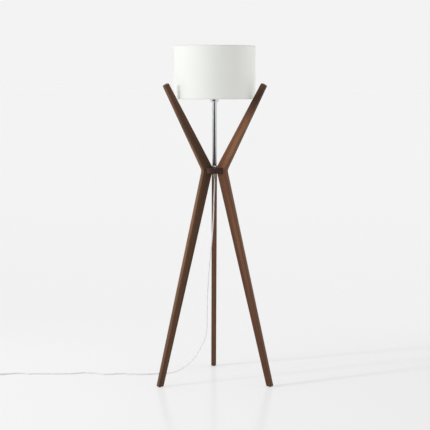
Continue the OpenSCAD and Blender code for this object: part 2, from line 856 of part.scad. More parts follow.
// The plug lies flat, with its pins pointing along -Y
module plug_body() {
    w = plug_w / 2;
    t = plug_t / 2;
    color([0.94, 0.94, 0.93])
        translate([plug_at.x, plug_at.y, t])
            rotate([90, 0, 0]) {
                difference() {
                    rotate_extrude($fn = 48) polygon([
                        [0, 0], [sleeve_d / 2, 0], [sleeve_d / 2 + 1.6, sleeve_l], [0, sleeve_l]
                    ]);
                    translate([0, 0, -1]) cylinder(d = cord_d + 2 * fit_gap, h = sleeve_l - 2, $fn = 48);
                }
                translate([0, 0, sleeve_l])
                    intersection() {
                        linear_extrude(height = plug_l)
                            polygon([
                                [-w, -t * 0.35], [-w * 0.62, -t], [w * 0.62, -t], [w, -t * 0.35],
                                [w, t * 0.35], [w * 0.62, t], [-w * 0.62, t], [-w, t * 0.35]
                            ]);
                        rotate([90, 0, 0])
                            linear_extrude(height = plug_t + 2, center = true)
                                polygon([
                                    [-w * 0.38, 0], [w * 0.38, 0],
                                    each corner([0, plug_l * 0.2], [w, plug_l * 0.45], [w, plug_l], 12, 6),
                                    [w, plug_l], [-w, plug_l],
                                    each corner([-w, plug_l], [-w, plug_l * 0.45], [0, plug_l * 0.2], 12, 6)
                                ]);
                    }
            }
}

module plug_pins() {
    color([0.80, 0.80, 0.80])
        for (side = [-1, 1])
            translate([plug_at.x + side * pin_gap / 2, plug_at.y - sleeve_l - plug_l, plug_t / 2])
                rotate([90, 0, 0])
                    rotate_extrude($fn = 48) polygon([
                        [0, 0], [pin_d / 2, 0],
                        each corner([pin_d / 2, 0], [pin_d / 2, pin_l], [0, pin_l], pin_d / 2 - 0.2, 5),
                        [0, pin_l]
                    ]);
}

leg_left();
leg_right();
leg_rear();
foot_glides();
hub();
leg_screws();
collar();
pole();
rod();
hub_washer();
hub_nut();
cup();
cup_washer();
cup_nut();
holder_body();
holder_skirt();
screw_contact();
centre_contact();
spindle();
knob();
lock_ring();
bulb_cap();
bulb_glass();
shade_cover();
shade_top_ring();
shade_bottom_ring();
shade_spider();
cord_grip();
cord_inner();
cord();
cord_coil();
cord_tie();
plug_body();
plug_pins();
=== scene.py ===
# %% [markdown]
# # A tripod floor lamp
# Three dark wooden boards stand in a slotted hub, two of them bend on into arms beside a white
# drum shade, and a polished pole carries the lampholder. The exact solids of the lamp are already
# made. This lesson gives them their looks: finishes for every surface, and finer surfaces where
# the solids are too plain, such as the boards, the cloth of the shade and the loose cord.
# Everything is in metres, with the floor at height 0 and the pole on the Z axis.

# %% Load the frame
import math

import bpy
import numpy as np
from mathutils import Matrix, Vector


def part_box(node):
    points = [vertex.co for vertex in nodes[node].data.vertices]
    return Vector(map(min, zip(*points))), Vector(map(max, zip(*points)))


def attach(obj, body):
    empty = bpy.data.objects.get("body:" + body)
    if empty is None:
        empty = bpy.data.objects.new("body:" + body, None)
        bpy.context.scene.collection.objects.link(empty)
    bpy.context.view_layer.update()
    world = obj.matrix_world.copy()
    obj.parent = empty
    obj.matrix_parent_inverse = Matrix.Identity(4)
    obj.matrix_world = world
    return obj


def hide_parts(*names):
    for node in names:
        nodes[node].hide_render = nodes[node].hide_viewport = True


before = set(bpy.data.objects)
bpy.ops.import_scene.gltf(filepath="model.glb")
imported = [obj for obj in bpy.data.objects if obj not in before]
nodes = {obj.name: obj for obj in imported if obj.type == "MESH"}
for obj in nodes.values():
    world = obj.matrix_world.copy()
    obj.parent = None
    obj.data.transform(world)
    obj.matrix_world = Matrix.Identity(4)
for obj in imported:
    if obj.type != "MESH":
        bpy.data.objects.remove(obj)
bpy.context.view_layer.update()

# %% [markdown]
# ## The camera
# The lamp is seen from almost six metres away and 1.4 m up, with a long lens, so its upright lines
# stay nearly parallel. The camera looks slightly down, at the middle of the lamp. A long lens far
# away and a short one close by can frame the same thing, but only the distance decides how high
# the rear foot stands above the front ones, so the distance was settled first.

# %% The camera
lens = bpy.data.cameras.new("camera")
lens.sensor_width, lens.lens = 36, 106.0
camera = bpy.data.objects.new("camera", lens)
camera.location = (-0.0863, -5.9029, 1.3983)
camera.rotation_euler = [math.radians(a) for a in (84.0747, 0, -0.8602)]
bpy.context.scene.collection.objects.link(camera)
bpy.context.scene.camera = camera
print("camera", tuple(camera.location), "lens", lens.lens)

# %% [markdown]
# ## Surfaces from grids of points
# A surface can be pushed and cut into shape by hand, but most parts of a lamp follow a rule: a
# board is one section carried along a line, a cup is one profile turned round an axis. So each
# piece here is a grid of points P[i, j], worked out as a whole array. Four neighbouring points
# make one face. The grid may close on itself both ways, and its two ends may be closed with a fan.

# %% From a grid to a mesh
MM = 0.001


def map_of(u, v):
    """The map of a grid: its point (i, j) lies at (u_j, v_i), so u goes round and v goes along."""
    return np.stack(np.broadcast_arrays(u, v[:, None]), -1)


def skin(name, grid, loop=False, around=True, ends=(None, None), uv=None, marks=None, sharp=40):
    """Grid point (i, j) joins (i, j+1), (i+1, j+1) and (i+1, j) in one face. loop closes the rows i,
    around closes the columns j, and an end point closes an open end with a fan. uv has one more row or
    column where the grid closes. marks are vectors kept on the points. Faces are turned outwards by the
    sign of the volume, which is a sixth of the sum of a . (b x c) over the triangles."""
    m, n = grid.shape[:2]
    rows, columns = m if loop else m - 1, n if around else n - 1
    i, j = np.meshgrid(np.arange(rows), np.arange(columns), indexing="ij")
    i, j = i.ravel(), j.ravel()
    quad_i, quad_j = np.stack([i, i, i + 1, i + 1], 1), np.stack([j, j + 1, j + 1, j], 1)
    points, faces = [grid.reshape(-1, 3)], [(quad_i % m) * n + quad_j % n]
    if uv is None:
        uv = map_of(np.linspace(0, 1, n + 1), np.linspace(0, 1, m + 1))[..., ::-1]
    corners = [uv[quad_i, quad_j]]
    values = None if marks is None else [marks.reshape(-1, 3)]
    for end, row, turn in ((ends[0], 0, -1), (ends[1], m - 1, 1)):
        if end is None:
            continue
        a = np.arange(n)
        tip = np.full(n, sum(len(block) for block in points))
        fan = np.stack([row * n + a, row * n + (a + 1) % n, tip], 1)
        spread = np.stack([uv[row, a], uv[row, a + 1], np.repeat(uv[row].mean(0)[None], n, 0)], 1)
        faces.append(fan[:, ::turn])
        corners.append(spread[:, ::turn])
        points.append(np.array(end, float).reshape(1, 3))
        if marks is not None:
            values.append(marks[row].mean(0)[None])
    points = np.concatenate(points)
    p = [points[f] for f in faces]
    volume = sum((q[:, 0] * np.cross(q[:, k], q[:, k + 1])).sum()
                 for q in p for k in range(1, q.shape[1] - 1)) / 6
    if volume < 0:
        faces, corners = [f[:, ::-1] for f in faces], [c[:, ::-1] for c in corners]
    mesh = bpy.data.meshes.new(name)
    mesh.from_pydata(points.tolist(), [], [f for block in faces for f in block.tolist()])
    mesh.uv_layers.new(name="UVMap").data.foreach_set(
        "uv", np.concatenate([c.reshape(-1, 2) for c in corners]).ravel().astype(np.float32))
    if marks is not None:
        mesh.attributes.new("grain", "FLOAT_VECTOR", "POINT").data.foreach_set(
            "vector", np.concatenate(values).ravel().astype(np.float32))
    mesh.shade_smooth()
    mesh.set_sharp_from_angle(angle=math.radians(sharp))
    piece = bpy.data.objects.new(name, mesh)
    bpy.context.scene.collection.objects.link(piece)
    print(f"{name}: {len(points)} points, {abs(volume) * 1e6:.1f} cubic cm")
    return piece


# %% Lines, corners and turned shapes
def unit(v):
    """A vector divided by its own length, for one vector or a whole array of them."""
    return v / np.linalg.norm(v, axis=-1, keepdims=True)


def run_along(points):
    """How far each point of a line lies along it: the sum of |p_k+1 - p_k| over the k before it."""
    return np.concatenate([[0], np.cumsum(np.linalg.norm(np.diff(points, axis=0), axis=1))])


def corner_arc(a, p, b, radius, steps):
    """The arc that rounds the corner at p between the lines to a and b. Its centre lies on the bisector,
    radius / sin(half the angle) from p, and it touches the lines radius / tan(half the angle) from p."""
    a, p, b = (np.array(x, float) for x in (a, p, b))
    u, v = unit(a - p), unit(b - p)
    half = math.acos(u @ v) / 2
    centre = p + unit(u + v) * radius / math.sin(half)
    start, end = p + u * radius / math.tan(half) - centre, p + v * radius / math.tan(half) - centre
    first = math.atan2(start[1], start[0])
    turn = (math.atan2(end[1], end[0]) - first + math.pi) % (2 * math.pi) - math.pi
    angle = first + turn * np.linspace(0, 1, steps + 1)
    return centre + radius * np.stack([np.cos(angle), np.sin(angle)], 1)


def rounded(outline, steps=4):
    """An open outline of (x, y) points, where an inner point with a third number is replaced by an arc
    of that radius."""
    p = [np.array(q[:2], float) for q in outline]
    parts = [p[0][None]]
    for k in range(1, len(p) - 1):
        r = outline[k][2] if len(outline[k]) > 2 else 0
        parts.append(corner_arc(p[k - 1], p[k], p[k + 1], r, steps) if r else p[k][None])
    return np.concatenate(parts + [p[-1][None]])


def turned(name, profile, steps=96, sharp=40):
    """A closed profile of (radius r, height z) in mm, turned round the Z axis: point (i, j) is
    (r_i cos a_j, r_i sin a_j, z_i), with the a_j in equal steps."""
    profile = np.array(profile, float) * MM
    r, z = profile.T
    a = np.linspace(0, 2 * np.pi, steps, endpoint=False)
    grid = np.stack([np.outer(r, np.cos(a)), np.outer(r, np.sin(a)), np.outer(z, np.ones(steps))], -1)
    way = run_along(np.concatenate([profile, profile[:1]]))
    uv = map_of(np.linspace(0, 2 * np.pi, steps + 1) * r.max(), way)
    return skin(name, grid, loop=True, uv=uv, sharp=sharp)


print("a rounded corner:", np.round(corner_arc((0, 0), (1, 0), (1, 1), 0.2, 2), 3).tolist())

# %% [markdown]
# ## The cord
# A mains cord comes straight down out of its grip under the hub, hangs a little to one side and
# reaches the floor beside the rear leg, then wanders off to the left. It could be simulated, but
# then its course would be hard to choose. Here a smooth line goes through given points, with
# the long easy bends of a stiff PVC cord and no kink. The spare length is wound into a small
# two-layer coil on the floor, held by a tie, with the plug beside it.

# %% The points that the cord passes through
CORD = 5.5 * MM
ROUTE = MM * np.array([
    (0, 0, 956), (0, 0, 925), (-2, 1, 880), (-4, 4, 820), (-6, 7, 757), (-13, 12, 661),
    (-22, 20, 565), (-29, 31, 475), (-34, 44, 380), (-35, 60, 280), (-37, 69, 220), (-48, 79, 174),
    (-72, 92, 123), (-104, 103, 73), (-146, 112, 34), (-188, 117, 11), (-222, 119, 4.2),
    (-255, 116, 2.9), (-291, 111, 2.8), (-325, 104, 2.75), (-360, 102, 2.75),
    (-405, 108, 2.75), (-451, 117, 2.75), (-490, 109, 2.75), (-522, 102, 2.75),
    (-552, 112, 2.75), (-583, 130, 2.75), (-632, 138, 2.75), (-665, 127, 2.75),
    (-700, 120, 2.75), (-760, 117, 2.75), (-820, 121, 2.75), (-860, 122, 2.75),
    (-890, 118, 2.75), (-914, 124, 2.75), (-940, 134, 2.75), (-968, 128, 2.75),
    (-1000, 119, 2.8), (-1040, 116, 2.95), (-1062, 115.7, 3.4), (-1080, 115.5, 3.8)])
print("route:", len(ROUTE), "points, from", ROUTE[0], "to", ROUTE[-1])


def smooth_line(p, steps):
    """The smooth line through points p: between p1 and p2 it is half of
    2 p1 + (p2 - p0) t + (2 p0 - 5 p1 + 4 p2 - p3) t^2 + (3 p1 - p0 - 3 p2 + p3) t^3, for t from 0 to 1."""
    q = np.concatenate([p[:1], p, p[-1:]])
    p0, p1, p2, p3 = (q[k:len(q) - 3 + k, None] for k in range(4))
    t = (np.arange(steps) / steps)[None, :, None]
    bend, twist = 2 * p0 - 5 * p1 + 4 * p2 - p3, 3 * p1 - p0 - 3 * p2 + p3
    line = 0.5 * (2 * p1 + (p2 - p0) * t + bend * t**2 + twist * t**3)
    return np.concatenate([line.reshape(-1, 3), p[-1:]])


# %% [markdown]
# The coil runs inwards on the floor and outwards again on top of itself. Its radius shrinks by one
# pitch a turn down to the middle of its length and grows back, and it climbs a layer on the way.

# %% The coil and the whole line
COIL_AT, COIL_R, TURNS, PITCH = np.array([-1.100, 0.082]), 33.5 * MM, 3.25, 5.6 * MM
STEPS_PER_TURN, CLIMB_TURNS = 48, 0.3
LAYER_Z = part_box("cord_coil")[0].z + CORD / 2
plug_low, plug_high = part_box("plug_body")

a = np.linspace(0, 1, int(TURNS * STEPS_PER_TURN) + 1)
inward = np.minimum(a, 1 - a) * TURNS
radius = COIL_R - PITCH * inward
climb = np.clip((a - 0.5) * TURNS / CLIMB_TURNS + 0.5, 0, 1)
height = LAYER_Z + PITCH * climb**2 * (3 - 2 * climb)
angle = np.pi / 2 + 2 * np.pi * TURNS * a
coil = np.stack([COIL_AT[0] + radius * np.cos(angle), COIL_AT[1] + radius * np.sin(angle), height], 1)

plug_mid = (plug_low + plug_high) / 2
lead_in = [(COIL_AT[0] + 9.5 * MM, COIL_AT[1] + COIL_R, LAYER_Z)]
drop = coil[-1, 2] - plug_mid.z
to_plug = np.array([(plug_mid.x, coil[-1, 1] - run * MM, plug_mid.z + drop * share) for run, share in (
    (8, 0.741), (16, 0.259), (24, 0), (32, 0))])
line = smooth_line(np.concatenate([ROUTE, lead_in, coil[::2], to_plug]), 5)


# %% The cord's surface
FLOOR_LEAD, LEAD_FADE = 0.02, 0.25


def tube(name, line, radius, sides=12):
    """Point (i, j) = line_i + radius (side_i cos a_j + up_i sin a_j). side_i is square to the line's
    direction and to a lead vector, which turns from +Y on the hanging part to +Z on the floor, and up_i
    is square to both."""
    along = unit(np.gradient(line, axis=0))
    hanging = np.clip((line[:, 2:] - FLOOR_LEAD) / LEAD_FADE, 0, 1)
    lead = np.concatenate([0 * hanging, hanging, 1 - hanging], 1)
    side = unit(np.cross(along, lead))
    up = np.cross(side, along)
    a = np.linspace(0, 2 * np.pi, sides, endpoint=False)[None, :, None]
    grid = line[:, None] + radius * (side[:, None] * np.cos(a) + up[:, None] * np.sin(a))
    uv = map_of(np.linspace(0, 1, sides + 1), run_along(line))
    return skin(name, grid, ends=(line[0], line[-1]), uv=uv)


# %% [markdown]
# The plug is a flat moulded body that widens from its sleeve, so its sections are flattened ovals
# of growing width.

# %% The plug
def plug_shape():
    """Section i lies square to the pins, d_i behind its front end. Its point j is w_i |cos a|^(1 - full/2)
    sideways and t_i |sin a|^(1 - 0.3 full) upwards, with their signs. full grows from 0 at the sleeve
    to 1 at the pins, so round sections turn into ovals that are fuller than an ellipse."""
    depth = (plug_high.y - plug_low.y) / MM
    sides = 48
    d = np.array([0, 0, 0.6, 4, 9, 13, 15.5, 18, 21, 25, 30, 35, depth - 1.2, depth - 0.3, depth])
    w = np.array([2.9, 3.4, 3.75, 4.1, 4.7, 5.3, 7.2, 9.8, 12.6, 15.2, 16.9, 17.4, 17.4, 17.0, 16.2])
    t = np.array([2.9, 3.4, 3.75, 4.0, 4.4, 4.9, 5.6, 6.2, 6.6, 6.8, 6.85, 6.85, 6.75, 6.4, 5.7])
    a = np.linspace(0, 2 * np.pi, sides, endpoint=False)
    c, s = np.cos(a), np.sin(a)
    full = np.clip((d - 12) / 12, 0, 1)[:, None]
    side = np.sign(c) * np.abs(c) ** (1 - 0.5 * full) * w[:, None]
    rise = np.sign(s) * np.abs(s) ** (1 - 0.3 * full) * t[:, None]
    run = np.repeat(d[:, None], sides, 1)
    grid = np.stack([side, -run, rise], -1) * MM + np.array([plug_mid.x, plug_high.y, plug_mid.z])
    ends = [grid[0].mean(0), grid[-1].mean(0)]
    print("plug length", round(depth, 1), "mm")
    return skin("plug_moulding", grid, ends=ends, sharp=35)


plug = plug_shape()
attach(plug, "stand")
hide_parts("plug_body")

# %% The cord, and what is on it
cord = tube("mains_cord", line, CORD / 2)
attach(cord, "stand")
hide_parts("cord", "cord_coil")
print("on the cord:", plug.name, nodes["plug_pins"].name, nodes["cord_tie"].name)

# %% [markdown]
# ## Finishes as sums
# A finish is a small formula: so much of this stain, darker where a pore is, rougher where it is
# dark. Blender draws such a formula as boxes and wires. It is easier to read as arithmetic, so the
# class below wraps one output of a box and lets Python's own + - * / make the Math boxes.

# %% Arithmetic on sockets
class Value:
    """One output of a box in a finish. Arithmetic on it adds Math boxes: one per sign."""

    def __init__(self, finish, socket):
        self.finish, self.socket = finish, socket

    def math(self, operation, *terms):
        return self.finish.box("ShaderNodeMath", {"operation": operation}, dict(enumerate(terms)))

    def __add__(self, other):
        return self.math("ADD", self, other)

    def __sub__(self, other):
        return self.math("SUBTRACT", self, other)

    def __rsub__(self, other):
        return self.math("SUBTRACT", other, self)

    def __mul__(self, other):
        return self.math("MULTIPLY", self, other)

    def __truediv__(self, other):
        return self.math("DIVIDE", self, other)

    def __pow__(self, other):
        return self.math("POWER", self, other)

    __radd__, __rmul__ = __add__, __mul__

    def sin(self):
        return self.math("SINE", self)

    def size(self):
        """How far the value is from zero."""
        return self.math("ABSOLUTE", self)

    def clamped(self):
        """The value kept between 0 and 1."""
        return self.math("MINIMUM", self.math("MAXIMUM", self, 0.0), 1.0)

    def between(self, low, high):
        """0 below low, 1 above high, and a soft step in between."""
        return self.finish.box("ShaderNodeMapRange", {"interpolation_type": "SMOOTHSTEP"},
                               {"Value": self, "From Min": low, "From Max": high})


def stain(r, g, b):
    """A colour given as it looks on a screen, 0 to 255, in the linear light that shaders add up in:
    ((c + 0.055) / 1.055) to the power 2.4."""
    c = (np.array([r, g, b]) / 255 + 0.055) / 1.055
    return (*(float(x) for x in c**2.4), 1.0)


print("a middle grey:", [round(x, 3) for x in stain(128, 128, 128)])

# %% Boxes
class Boxes:
    """The boxes and wires of one finish, or of the world around the lamp."""

    def __init__(self, tree):
        self.tree = tree

    def feed(self, socket, value):
        if isinstance(value, Value):
            self.tree.links.new(value.socket, socket)
        else:
            socket.default_value = value

    def box(self, kind, settings, sockets, out=0):
        """Any box: its kind, its settings, then the values or links of its sockets."""
        made = self.tree.nodes.new(kind)
        for key, value in settings.items():
            setattr(made, key, value)
        for key, value in sockets.items():
            self.feed(made.inputs[key], value)
        return Value(self, made.outputs[out])

    def outputs(self, kind, sockets, *names):
        """Several outputs of one box that has no settings."""
        first = self.box(kind, {}, sockets)
        return [Value(self, first.socket.node.outputs[name]) for name in names]


# %% One finish
class Finish(Boxes):
    """A material with one Principled shader. Uniform numbers are set on its sockets by name."""

    def __init__(self, name, **uniform):
        self.material = bpy.data.materials.new(name)
        self.material.use_nodes = True
        super().__init__(self.material.node_tree)
        self.shader = self.tree.nodes["Principled BSDF"]
        self.set(**uniform)

    def set(self, **values):
        for key, value in values.items():
            self.feed(self.shader.inputs[key.replace("_", " ")], value)

    def coordinates(self, source="Object"):
        """Where a point of the surface is: in metres in the frame, on its UV map, or in a board's grain."""
        if source == "grain":
            return self.box("ShaderNodeAttribute", {"attribute_name": "grain"}, {}, "Vector")
        return self.box("ShaderNodeTexCoord", {}, {}, source)

    def scaled(self, place, scale, shift=(0, 0, 0)):
        return self.box("ShaderNodeMapping", {}, {"Vector": place, "Scale": scale, "Location": shift})

    def noise(self, place, scale=(1, 1, 1), detail=3.0, rough=0.5, twist=0.0, shift=(0, 0, 0)):
        """Cloudy values from 0 to 1 about 0.5. scale gives how many clouds fit in a metre each way."""
        return self.box("ShaderNodeTexNoise", {}, {
            "Vector": self.scaled(place, scale, shift), "Scale": 1.0, "Detail": detail,
            "Roughness": rough, "Distortion": twist})

    def parts(self, place):
        return self.outputs("ShaderNodeSeparateXYZ", {"Vector": place}, 0, 1, 2)

    def joined(self, x, y, z):
        return self.box("ShaderNodeCombineXYZ", {}, {0: x, 1: y, 2: z})

    def blend(self, factor, first, second):
        """A colour that goes from the first to the second as the factor goes from 0 to 1."""
        return self.box("ShaderNodeMix", {"data_type": "RGBA", "clamp_factor": True},
                        {0: factor, 6: first, 7: second}, 2)

    def shade(self, colour, factor):
        """A colour made darker or lighter: each channel times the factor."""
        grey = self.joined(factor, factor, factor)
        return self.box("ShaderNodeVectorMath", {"operation": "MULTIPLY"}, {0: colour, 1: grey})

    def relief(self, height, depth):
        """Relief drawn by light alone: height 1 stands depth metres over height 0."""
        return self.box("ShaderNodeBump", {}, {"Height": height, "Distance": depth, "Strength": 1.0})

    def onto(self, *pieces):
        for piece in pieces:
            piece.data.materials.clear()
            piece.data.materials.append(self.material)
            print(self.material.name, "on", piece.name)


# %% [markdown]
# ## The boards
# Each bent board is sawn and glued up as one piece: a leg that widens from the foot to the hub,
# a bend, and an arm that narrows again to its tip, with every arris rounded. The solid has these
# forms, but with few steps in the roundings, and nothing on it says which way the wood grows. So
# the board is lofted again from the same lines, with finer steps and a crisper arris of 2 mm, and
# every point keeps a vector (across, through, along) the board. The grain is drawn on that vector,
# so it follows the bend.

# %% Lines of the boards, as (distance from the pole, height) in mm
BOARD_T, ARRIS, EASE, GLIDE = 24.0, 2.0, 4.0, 2.5
SHADE_R, ARM_GAP, ARM_PAST, TIP_W = 190.0, 15.0, 73, 24.0
NOSE_R, CROOK_R = 10, 30
FOOT_IN, FOOT_OUT = np.array([282.0, 0]), np.array([308.0, 0])
KNEE_IN, KNEE_OUT = np.array([14.0, 1006.5]), np.array([64.0, 997.0])
SHADE_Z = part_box("shade_cover")[0].z / MM
ARM = unit(np.array([SHADE_R + ARM_GAP, SHADE_Z]) - KNEE_IN)
TIP_IN = KNEE_IN + ARM * (SHADE_Z + ARM_PAST - KNEE_IN[1]) / ARM[1]
TIP_OUT = TIP_IN + np.array([ARM[1], -ARM[0]]) * TIP_W
HUB_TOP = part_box("hub")[1].z / MM
print("arm tip", np.round(TIP_IN, 1), np.round(TIP_OUT, 1))


def at_height(p, q, z):
    """The point of the line from p to q at each height z: p + (q - p) (z - p_z) / (q_z - p_z)."""
    return p + (q - p) * ((np.asarray(z, float)[:, None] - p[1]) / (q[1] - p[1]))


def eased(steps):
    """A rounded end: how far its sections are drawn in, and how far they lie from the end face."""
    k = np.linspace(0, np.pi / 2, steps + 1)
    return EASE * (1 - np.sin(k)), EASE * (1 - np.cos(k))


def between(first, last, steps):
    """Points in equal steps from first to last, without the two ends."""
    t = np.linspace(0, 1, steps + 2)[1:-1, None]
    return first + (last - first) * t


# %% Round the board, and along it
ROUNDING, FLAT_EDGE = 7, 0.6
corner = np.linspace(0, 1, ROUNDING)[[0, *range(ROUNDING), -1]]
TURN = np.concatenate([90 * (k + corner) for k in range(4)]) * np.pi / 180
STAY = np.tile([-FLAT_EDGE, *[0] * ROUNDING, FLAT_EDGE], 4)
SIGN_X, SIGN_Y = np.repeat([1, -1, -1, 1], len(corner)), np.repeat([1, 1, -1, -1], len(corner))


def section(half_w, half_t):
    """Points round a rectangle with rounded corners: x = half_w sign_x + ARRIS cos a - stay sin a and
    y = half_t sign_y + ARRIS sin a + stay cos a. stay puts one more point on the flat, just beside each
    end of a rounding, which keeps the flats flat under smooth shading."""
    x = half_w[:, None] * SIGN_X + ARRIS * np.cos(TURN) - STAY * np.sin(TURN)
    y = half_t[:, None] * SIGN_Y + ARRIS * np.sin(TURN) + STAY * np.cos(TURN)
    return x, y


def edges(bent):
    """Where the sections start and end, p_i on the edge next to the pole and q_i on the outer edge, and how
    far the easing draws each one in: the leg, then the bend and the arm, or the level top of a straight
    board."""
    straight, bend = 24, 16
    inset, back = eased(6)
    z = GLIDE + back
    p, q, draw = [at_height(FOOT_IN, KNEE_IN, z)], [at_height(FOOT_OUT, KNEE_OUT, z)], [inset]
    if bent:
        nose = corner_arc(FOOT_IN, KNEE_IN, TIP_IN, NOSE_R, bend)
        crook = corner_arc(FOOT_OUT, KNEE_OUT, TIP_OUT, CROOK_R, bend)
        tip_in, tip_out = TIP_IN - ARM * back[::-1, None], TIP_OUT - ARM * back[::-1, None]
        blocks = [(nose, crook, np.zeros(bend + 1)), (tip_in, tip_out, inset[::-1])]
    else:
        top = HUB_TOP - back[::-1]
        blocks = [(at_height(FOOT_IN, KNEE_IN, top), at_height(FOOT_OUT, KNEE_OUT, top), inset[::-1])]
    for inner, outer, drawn in blocks:
        p += [between(p[-1][-1], inner[0], straight), inner]
        q += [between(q[-1][-1], outer[0], straight), outer]
        draw += [np.zeros(straight), drawn]
    return np.concatenate(p), np.concatenate(q), np.concatenate(draw)


print("points round a board:", len(TURN), "sections along it:", [len(edges(b)[0]) for b in (True, False)])


# %% The board as a loft
def board(name, angle, bent):
    """Section i lies between p_i and q_i in the board's plane. Around it, point j is their middle plus
    x_j along p_i q_i and y_j through the board. Then the plane is turned about the pole."""
    p, q, draw = edges(bent)
    middle, out = (p + q) / 2, unit(q - p)
    x, y = section(np.linalg.norm(q - p, axis=1) / 2 - draw - ARRIS, BOARD_T / 2 - draw - ARRIS)
    flat = middle[:, None] + x[..., None] * out[:, None]
    c, s = math.cos(math.radians(angle)), math.sin(math.radians(angle))

    def turned_out(r, y, z):
        return np.stack([r * c - y * s, r * s + y * c, z], -1) * MM

    way = run_along(middle)
    marks = np.stack([x, y, np.broadcast_to(way[:, None], x.shape)], -1) * MM
    usual, usual_w = 30, 40
    around = np.append(run_along(np.stack([x[usual], y[usual]], 1)), 2 * (BOARD_T + usual_w))
    ends = [turned_out(m[0], 0, m[1]) for m in (middle[0], middle[-1])]
    piece = skin(name, turned_out(flat[..., 0], y, flat[..., 1]), ends=ends,
                 uv=map_of(around, way) * MM, marks=marks, sharp=60)
    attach(piece, "stand")
    return piece


left = board("board_left", 210, True)
right = board("board_right", 330, True)
rear = board("board_rear", 90, False)
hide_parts("leg_left")
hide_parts("leg_right")
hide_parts("leg_rear")


# %% [markdown]
# ## Stained walnut
# Wood is a stack of yearly rings, so its figure is drawn as a solid: rings about an axis that lies
# a few centimetres outside the board and wanders slowly along it. On the broad faces they come out
# as long streaks that open and close, on the ends as arcs. Fine fibres and dark open pores are much
# longer than wide. A dark stain evens all this out, and a thin satin lacquer leaves the pores open.
# Over this, stretches of each board are painted lighter or darker as painted light and shade, and
# the left board's outer edge carries a pale streak of painted light from the window.

# %% The wood finish
RING, SAP_EDGES = 0.0045, (0.003, 0.004)


def walnut(name, dark, light, heart, painted_light_and_shade=(), sapwood_and_painted_light=(), source="grain", axes=(0, 1, 2)):
    """Ring number = distance from the wandering axis / RING; the tone is a wave over that number, mixed
    with stretched clouds for fibres. Pores are the peaks of clouds that are forty times longer than wide.
    Each entry of painted light and shade (middle, reach, amount) makes a stretch of the board lighter
    or darker by that share: painted light and painted shade, not the wood's own colour.
    Each pale streak is (lengths, side, width, wander, taper, share): it comes in between the
    first two lengths and goes between the last two, and lies from side to side + width across, where the
    line of its edge wanders and follows the board's taper. On the right board the streaks are sapwood;
    on the left board the streak along the outer edge is painted light from the window."""
    f = Finish(name, Specular_IOR_Level=0.18)
    part = f.parts(f.coordinates(source))
    across, through, along = (part[k] for k in axes)
    level = 1.0
    # painted light and shade: each entry lightens or darkens a stretch along the board
    for middle, reach, amount in painted_light_and_shade:
        level = (1 - (along - middle).size().between(0.0, reach)) * amount + level
    sap_and_painted_light = 0.0
    # pale streaks: sapwood, and painted light along the left board's outer edge
    for lengths, side, width, wander, taper, share in sapwood_and_painted_light:
        waver = f.noise(f.joined(0.0, 0.0, along), (1, 1, 9), detail=1) * wander
        edge = across + waver + (along - 1.0).size() * taper
        band = along.between(*lengths[:2]) * (1 - along.between(*lengths[2:])) * share
        starts = edge.between(side, side + SAP_EDGES[0])
        stops = edge.between(side + width, side + width + SAP_EDGES[1])
        sap_and_painted_light = band * starts * (1 - stops) + sap_and_painted_light
    across, through, along = across + heart[0], through + heart[1], along + heart[2]
    place = f.joined(across, through, along)
    sway = f.noise(f.joined(0.0, 0.0, along), (1, 1, 1.7), detail=2) * 0.05
    ripple = f.noise(place, (18, 18, 2.2), detail=2) * 0.006
    x, y = across + sway + ripple, through + 0.035 + sway * 0.5
    ring = ((x * x + y * y) ** 0.5) * (2 * math.pi / RING)
    wave = ring.sin() * 0.5 + 0.5
    streak = f.noise(place, (75, 75, 1.6), detail=4, rough=0.55)
    fibre = f.noise(place, (520, 520, 9), detail=3, rough=0.6)
    pore = f.noise(place, (1500, 1500, 36), detail=1).between(0.60, 0.72)
    tone = (wave * 0.28 + streak.between(0.28, 0.72) * 0.52 + fibre * 0.40 - 0.10).clamped()
    colour = f.blend(tone, dark, light)
    # the streaks' paler colour: sapwood, and on the left board painted light
    if sapwood_and_painted_light:
        colour = f.blend(sap_and_painted_light, colour, f.blend(tone, stain(128, 88, 59), stain(160, 116, 80)))
    # level carries the painted light and shade along the board
    f.set(Base_Color=f.shade(colour, (1 - pore * 0.45) * level),
          Roughness=0.46 + fibre * 0.12 + pore * 0.2 - tone * 0.06,
          Normal=f.relief(fibre * 0.5 - pore * 1.0 + wave * 0.15, 0.00012))
    return f


# Painted light and shade on the boards: the left board lighter at its tip and foot and darker near its bend;
# the right board darker at its arm's tip, where the shade's shadow falls, and darker down its leg, where the
# window light falls off.
walnut("walnut_left", stain(66, 45, 30), stain(107, 74, 53), heart=(0.031, 0.012, 0.4),
       painted_light_and_shade=[(1.47, 0.20, 0.30), (1.05, 0.35, -0.28), (0.0, 0.40, 0.20), (0.0, 0.15, -0.22)],
       # the left board's pale streak along its outer edge is painted light from the window
       sapwood_and_painted_light=[((0.1, 0.90, 1.20, 1.36), 0.0228, 0.05, 0.002, 0.012, 0.60)]).onto(left)
walnut("walnut_right", stain(74, 48, 34), stain(120, 80, 55), heart=(0.044, -0.020, 2.9),
       painted_light_and_shade=[(1.42, 0.12, -0.58), (1.17, 0.24, 0.24), (0.40, 0.55, -0.20), (0.0, 0.30, -0.12)],
       sapwood_and_painted_light=[((0.98, 1.10, 1.26, 1.38), 0.006, 0.020, 0.014, 0.012, 0.42),
                ((0.30, 0.55, 0.70, 0.98), 0.008, 0.040, 0.010, 0.012, 0.15)]).onto(right)
walnut("walnut_rear", stain(70, 48, 36), stain(117, 82, 60), heart=(0.027, 0.030, 5.2)).onto(rear)

# %% [markdown]
# The hub is turned from a flat block, so its grain lies level. Its solid already has the right
# shape, with its slots and rounded rims, so it only takes the finish, drawn on its place in space.
# Its stain is darker than the boards', as painted shade where the boards shadow it, and its left
# side is painted lighter, as painted light from the window.

